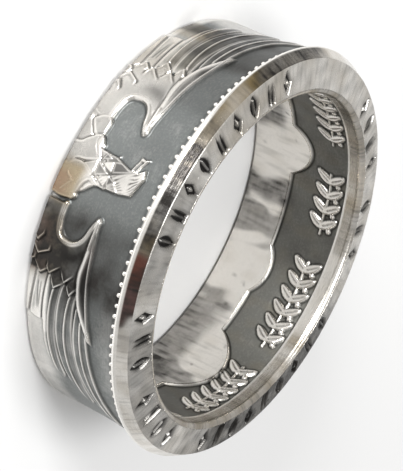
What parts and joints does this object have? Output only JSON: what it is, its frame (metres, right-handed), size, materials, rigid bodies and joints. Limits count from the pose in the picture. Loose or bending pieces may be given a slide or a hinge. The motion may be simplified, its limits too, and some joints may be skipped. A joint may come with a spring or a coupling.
{
  "type": "coin ring",
  "caption": "Finger ring folded from a struck silver coin, with a raised rim, a beaded border and a heraldic eagle outside, sunk marks on its edge face and an open finger bore.",
  "frame": {"origin": "centre of the finger bore at the plane of the cut edge that the ring lies on", "axes": "+Z along the finger bore from the cut edge to the edge face, -Y towards the eagle's head, X to its sides"},
  "size_m": [0.0238, 0.0238, 0.0073],
  "materials": {
    "struck_silver": "coin silver, oxidised dark in the field and rubbed bright on the relief, rim and bore"
  },
  "bodies": {
    "root": {"ring_band": "struck_silver"}
  },
  "joints": []
}
